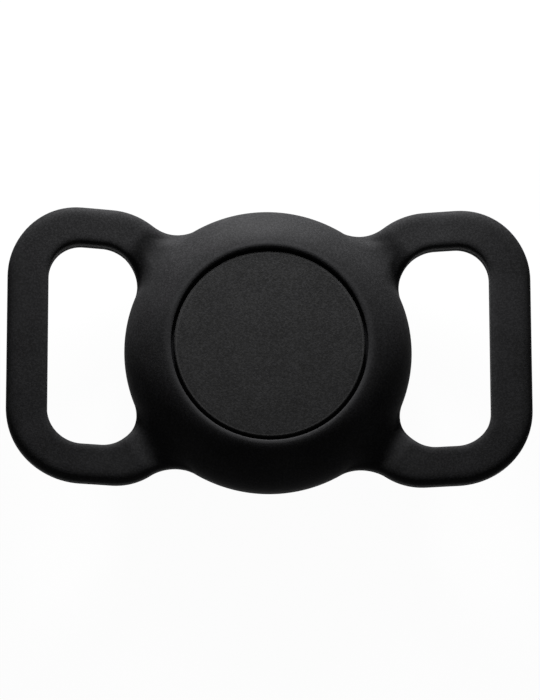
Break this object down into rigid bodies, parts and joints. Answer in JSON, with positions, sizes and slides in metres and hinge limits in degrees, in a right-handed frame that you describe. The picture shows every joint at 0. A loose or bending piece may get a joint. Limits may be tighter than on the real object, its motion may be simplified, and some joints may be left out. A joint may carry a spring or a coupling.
{
  "type": "tracker tag holder",
  "caption": "Soft moulded strap holder with a loop on each side of a round window, holding a coin-shaped tracker tag with a twist-off battery cover.",
  "frame": {"origin": "centre of the flat closed face that the holder rests on", "axes": "+X along the strap, through both loops; +Y across the strap; +Z out of the window"},
  "size_m": [0.0704, 0.0388, 0.0113],
  "materials": {
    "silicone": "matte, fine grain",
    "shell_plastic": "gloss",
    "housing_plastic": "satin",
    "cover_black": "matte",
    "seal_rubber": "smooth",
    "pad_foam": "foam",
    "cell_steel": "satin nickel",
    "gasket_plastic": "translucent grey",
    "contact_gold": "gold plated",
    "board_green": "solder mask",
    "chip_black": "moulded",
    "tinned": "tinned",
    "ceramic": "ceramic",
    "yoke_steel": "plated",
    "copper": "enamelled copper"
  },
  "bodies": {
    "holder": {"holder_body": "silicone"},
    "tag": {"tag_shell": "shell_plastic", "rear_housing": "housing_plastic", "cover_seal": "seal_rubber", "cell_can": "cell_steel", "cell_gasket": "gasket_plastic", "cell_cap": "cell_steel", "side_contacts": "contact_gold", "centre_contact": "contact_gold", "circuit_board": "board_green", "radio_chip": "chip_black", "shield_can": "tinned", "memory_chip": "chip_black", "motion_sensor": "chip_black", "crystals": "tinned", "chip_capacitors": "ceramic", "antenna_strips": "copper", "magnet_yoke": "yoke_steel", "speaker_magnet": "yoke_steel", "pole_plate": "yoke_steel", "voice_coil": "copper"},
    "cover": {"battery_cover": "cover_black", "cover_pad": "pad_foam"}
  },
  "joints": [
    {"name": "tag_out", "type": "slide", "parent": "holder", "child": "tag", "axis": [0, 0, 1], "range_m": [0, 0.012], "deforming": ["holder_body"]},
    {"name": "cover_turn", "type": "hinge", "parent": "tag", "child": "cover", "pos_m": [0, 0, 0.0098], "axis": [0, 0, 1], "range_deg": [0, 30]}
  ]
}
